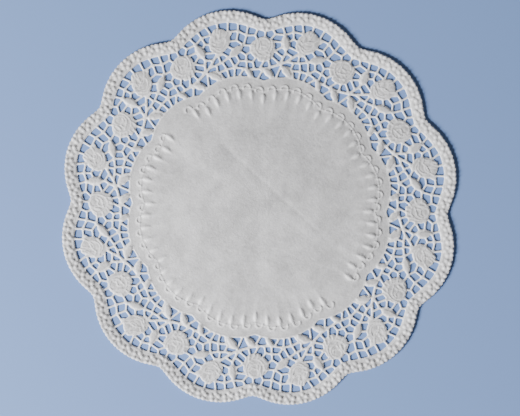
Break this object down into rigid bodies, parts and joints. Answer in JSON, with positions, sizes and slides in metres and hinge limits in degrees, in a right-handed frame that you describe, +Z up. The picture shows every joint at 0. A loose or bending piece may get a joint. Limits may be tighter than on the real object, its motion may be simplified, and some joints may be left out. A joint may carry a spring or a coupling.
{
  "type": "paper lace doily",
  "caption": "Round white paper lace doily with a scalloped beaded rim, a net of roses and leaves, and a plain middle ringed by embossed stitches.",
  "frame": {"origin": "middle of the doily, on the plane that its flat underside rests on", "axes": "+Z up through the sheet, towards the embossed side; +X and +Y in the sheet, with a notch of the rim 28 degrees round from +X towards +Y"},
  "size_m": [0.3538, 0.3538, 0.0018],
  "materials": {
    "paper": "matt"
  },
  "bodies": {
    "root": {"doily": "paper"}
  },
  "joints": []
}
